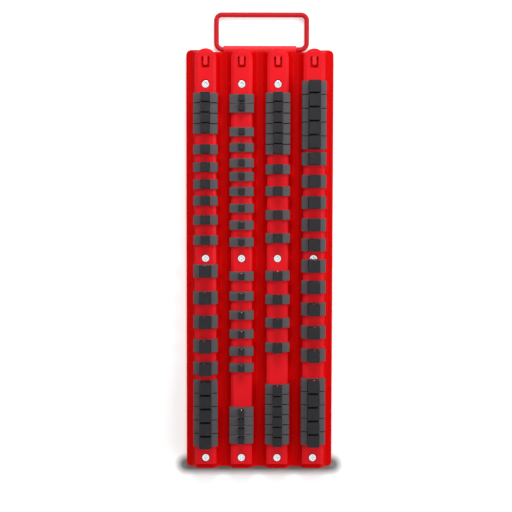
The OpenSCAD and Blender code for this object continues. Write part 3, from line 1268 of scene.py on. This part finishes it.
@dataclass(frozen=True)
class ClipSet:
    """All the clips on the rails, single ones and parked rows."""

    layout: Layout
    foot_drop: float = 2.4
    foot_gap: float = 0.1

    @staticmethod
    def places(node: str, drive: Drive) -> list[Triple]:
        """Gives where the clips of a node are: one place, or a row of them.

        Args:
            node: the node.
            drive: the clips' drive.

        Returns:
            The middles of the clips, from the open end on.
        """
        low, high = box_mm(node)
        count = round((high.y - low.y) / drive.pitch)
        return [
            ((low.x + high.x) / 2, low.y + drive.length / 2 + k * drive.pitch, 0) for k in range(count)]

    def lean_together(self, shape: Shape, row: Sequence[Triple], drive: Drive) -> None:
        """Lets the feet of neighbours in a row almost touch, under the gap between their backs, so that dark
        plastic stands in for the shade in that gap.

        Args:
            shape: the row's mouldings.
            row: the middles of the clips.
            drive: their drive.
        """
        reach = (drive.pitch - drive.length) / 2 + NEAR
        for (_, y, _), (_, next_y, _) in pairwise(row):
            middle = (y + next_y) / 2
            for vert in shape.bm.verts:
                off = vert.co.y - middle
                if abs(off) <= reach and vert.co.z < ClipMoulding.post_z - self.foot_drop:
                    vert.co.y = middle + math.copysign(self.foot_gap / 2, off)

    def build(self) -> None:
        """Makes a moulding and a detent piece for each clip node."""
        foot_z = ClipMoulding.post_z
        plastic = MouldedPlastic(
            "charcoal_nylon", "clip_plastic", saddle=(0.108, 0.102, 0.108), post=(0.022, 0.022, 0.025),
            foot_low=foot_z - 0.1, foot_high=foot_z + 0.4)
        looks = (("moulding", plastic), ("detent", BALL_STEEL))
        templates = {}
        for drive in Drive:
            moulding = ClipMoulding(drive, self.layout)
            templates[drive] = (moulding.build(), moulding.build_detent())
        clips = sorted(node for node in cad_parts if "clip" in node)
        for node in clips:
            drive = Drive.of_node(node)
            for template, (suffix, coat) in zip(templates[drive], looks):
                shape = Shape()
                row = self.places(node, drive)
                for place in row:
                    shape.add(template, place)
                # Dark feet in the gaps stand in for the shade between neighbouring clips.
                if coat is plastic:
                    self.lean_together(shape, row, drive)
                shape.finish(f"{node}_{suffix}", coat, node, [node])
            LOG.info("%s: %d clips", node, len(row))


@dataclass(frozen=True)
class Lamp:
    """A square lamp that faces the tray, with its place and size in metres and its power in watts."""

    name: str
    place: Triple
    size: float
    power: float

    def build(self) -> None:
        """Makes the lamp and turns it to the tray."""
        light = bpy.data.lights.new(self.name, "AREA")
        light.size = self.size
        light.energy = self.power
        lamp = new_object(self.name, light)
        lamp.location = self.place
        lamp.rotation_euler = (-Vector(self.place)).to_track_quat("-Z", "Y").to_euler()


@dataclass(frozen=True)
class Studio:
    """White floor with a painted shadow along the tray's open end, soft lamps and the camera over the tray.
    Places on the floor are in metres.
    """

    camera_place: Triple = (-5.5, 37.4, 991.9)
    camera_turn: Triple = (-2.996, -0.114, 0.107)
    focal_px: float = 1000.0
    frame_px: float = 512.0
    sensor: float = 36.0
    floor_half: float = 12.0
    floor_gap: float = 0.0002
    lamps: tuple[Lamp, ...] = (
        Lamp("key_lamp", (0.05, 0.78, 0.82), 0.5, 5.9),
        Lamp("side_lamp", (0.75, 0.10, 0.80), 0.5, 4.6),
        Lamp("fill_lamp", (-0.70, 0.0, 0.85), 0.8, 1.3),
    )
    sky: float = 0.34
    floor_tone: float = 0.95
    # The floor's colour inside the painted shadow along the tray's open end.
    painted_shadow_tone: float = 0.28
    floor_glow: float = 0.66
    near_glow: float = 0.48
    painted_shadow_half: float = 0.073
    painted_shadow_y: float = -0.224
    # How far from the tray's open end a fade starts and ends: the painted shadow's, and then the far glow's.
    painted_shadow_fade: Point = (0.004, 0.012)
    far_fade: Point = (0.3, 1.2)

    def camera(self) -> None:
        """Makes the camera, which looks almost straight down."""
        data = bpy.data.cameras.new("camera")
        data.sensor_width = self.sensor
        data.lens = self.focal_px / self.frame_px * self.sensor
        data.clip_end = 100
        camera = new_object("camera", data)
        camera.location = Vector(self.camera_place) * MM
        camera.rotation_euler = [math.radians(angle) for angle in self.camera_turn]
        bpy.context.scene.camera = camera

    def floor(self) -> None:
        """Makes the white floor, which keeps the shadows, with a painted shadow along the tray's open end,
        where its colour is darker and its glow less.
        """
        shape = Shape()
        bmesh.ops.create_grid(shape.bm, x_segments=1, y_segments=1, size=self.floor_half)
        bmesh.ops.translate(shape.bm, vec=(0, 0, -self.floor_gap), verts=shape.bm.verts)
        floor = new_object("floor", shape.mesh("floor"))
        material = bpy.data.materials.new("white_floor")
        nodes = Nodes(material)
        # A painted shadow: darker colour and no glow near the tray's open end, fading out with distance.
        past_end = (nodes.axis("X").math("ABSOLUTE") - self.painted_shadow_half).math("MAXIMUM", 0.0)
        off_edge = nodes.axis("Y") - self.painted_shadow_y
        distance = (past_end * past_end + off_edge * off_edge).math("SQRT")
        past_painted_shadow = distance.above(*self.painted_shadow_fade)
        glow = past_painted_shadow * self.near_glow + distance.above(*self.far_fade) * (1 - self.near_glow)
        nodes.surface(
            "ShaderNodeBsdfPrincipled",
            Base_Color=nodes.blend(past_painted_shadow, [self.painted_shadow_tone] * 3, [self.floor_tone] * 3),
            Roughness=1.0, Specular_IOR_Level=0.0,
            Emission_Color=nodes.blend(nodes.seen_directly() * glow, (0, 0, 0), (1, 1, 1)),
            Emission_Strength=self.floor_glow)
        floor.data.materials.append(material)

    def world(self) -> None:
        """Makes the sky: dim as a light, and white where it is seen or mirrored."""
        world = bpy.data.worlds.new("studio")
        bpy.context.scene.world = world
        nodes = Nodes(world)
        strength = nodes.seen_directly() * (1 - self.sky) + self.sky
        nodes.surface("ShaderNodeBackground", Color=(1, 1, 1, 1), Strength=strength)

    def build(self) -> None:
        """Sets the studio up."""
        bpy.context.scene.view_settings.view_transform = "Standard"
        self.camera()
        self.floor()
        self.world()
        for lamp in self.lamps:
            lamp.build()


def main() -> None:
    """Builds the pieces in order, and the studio round them."""
    logging.basicConfig(level=logging.INFO, format="%(message)s")
    layout = Layout.read()
    Studio().build()
    pieces = [PressedTray(layout).build(), WireHandle(layout).build()]
    pieces += [Rail(layout, number).build() for number in RAILS]
    for place in layout.screws():
        screw = Screw(layout, *place)
        pieces += [screw.build(), screw.build_nut()]
    for piece in pieces:
        LOG.info("%s: %d faces", piece.name, len(piece.data.polygons))
    ClipSet(layout).build()


if __name__ == "__main__":
    main()
